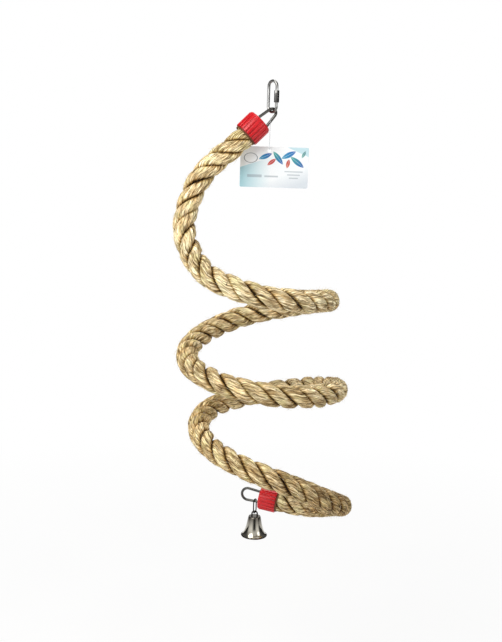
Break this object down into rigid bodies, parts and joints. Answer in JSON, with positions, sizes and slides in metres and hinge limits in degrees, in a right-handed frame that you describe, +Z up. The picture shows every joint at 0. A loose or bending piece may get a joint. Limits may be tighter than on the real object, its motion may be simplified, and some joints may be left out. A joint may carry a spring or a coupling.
{
  "type": "hanging spiral rope bird perch",
  "caption": "Natural rope coiled over a springy core, with ribbed end caps and wire eyes, a quick link to hang it by, a small bell below and a hang tag.",
  "frame": {"origin": "the inside top of the quick link, where the hook or cage bar bears", "axes": "+Z up along the hanging line, +X to the right and +Y away from the viewer of the picture"},
  "size_m": [0.2122, 0.1991, 0.5613],
  "materials": {
    "rope": "natural fibre",
    "core_steel": "galvanised",
    "tape": "adhesive tape",
    "cap": "gloss",
    "link_steel": "zinc plated",
    "eye_steel": "nickel plated",
    "crown_steel": "dull",
    "ferrule": "crimped",
    "bell": "nickel plated",
    "filament": "clear nylon",
    "card": "coated card"
  },
  "bodies": {
    "link": {"quick_link_body": "link_steel"},
    "link_nut": {"quick_link_nut": "link_steel"},
    "perch": {"upper_eye": "eye_steel", "upper_ferrule": "ferrule", "upper_cap": "cap", "upper_tape": "tape", "rope": "rope", "steel_core": "core_steel"},
    "lower_end": {"lower_ferrule": "ferrule", "lower_tape": "tape", "lower_cap": "cap", "lower_eye": "eye_steel"},
    "bell_ring": {"bell_link": "eye_steel"},
    "bell": {"bell_shell": "bell", "bell_crown": "crown_steel"},
    "clapper": {"clapper_stem": "eye_steel", "clapper_ball": "crown_steel"},
    "tag": {"hang_tag": "card", "tag_loop": "filament"}
  },
  "joints": [
    {"name": "nut_slide", "type": "slide", "parent": "link", "child": "link_nut", "axis": [0, 0, -1], "range_m": [0, 0.0041]},
    {"name": "perch_swing", "type": "hinge", "parent": "link", "child": "perch", "pos_m": [0, 0, -0.03155], "axis": [0.7431, -0.6691, 0], "range_deg": [-30, 30]},
    {"name": "coil_bounce", "type": "slide", "parent": "perch", "child": "lower_end", "axis": [0, 0, -1], "range_m": [-0.015, 0.04], "stiffness_N_per_m": 150, "springref_m": -0.00386, "deforming": ["rope", "steel_core"]},
    {"name": "bell_ring_swing", "type": "hinge", "parent": "lower_end", "child": "bell_ring", "pos_m": [-0.00366, 0.08668, -0.51327], "axis": [-0.9691, 0.2373, 0.0676], "range_deg": [-45, 45]},
    {"name": "bell_swing", "type": "hinge", "parent": "bell_ring", "child": "bell", "pos_m": [-0.00366, 0.08668, -0.52849], "axis": [0.5, 0.866, 0], "range_deg": [-35, 35]},
    {"name": "clapper_swing", "type": "hinge", "parent": "bell", "child": "clapper", "pos_m": [-0.00366, 0.08668, -0.53734], "axis": [1, 0, 0], "range_deg": [-25, 25]},
    {"name": "tag_swing", "type": "hinge", "parent": "perch", "child": "tag", "pos_m": [-0.00161, 0.00143, -0.04197], "axis": [1, 0, 0], "range_deg": [0, 60]}
  ]
}
